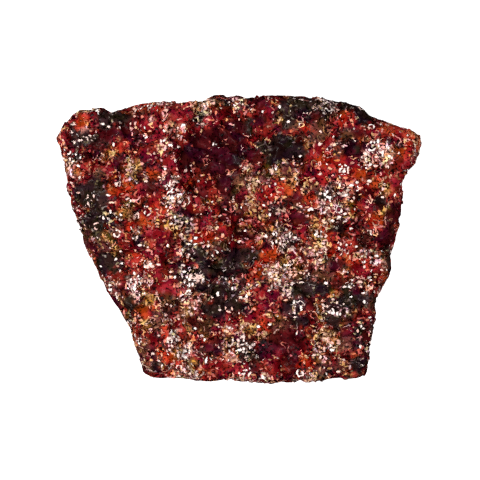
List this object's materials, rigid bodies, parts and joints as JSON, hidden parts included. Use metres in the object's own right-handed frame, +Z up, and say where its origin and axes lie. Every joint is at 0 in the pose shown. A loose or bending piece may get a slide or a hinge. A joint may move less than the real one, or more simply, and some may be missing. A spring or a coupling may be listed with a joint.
{
  "type": "willemite ore specimen",
  "caption": "Broken slab of granular red willemite ore with black and pale grains, lying flat on its underside, for display or study.",
  "frame": {"origin": "middle of the bounding box in plan, at the base plane", "axes": "+Z up out of the broad broken face, +X along the long edge of the slab, +Y towards the long edge"},
  "size_m": [0.0544, 0.043, 0.0195],
  "materials": {
    "ore": "granular, glassy broken crystals with small glints"
  },
  "bodies": {
    "root": {"willemite_specimen": "ore"}
  },
  "joints": []
}
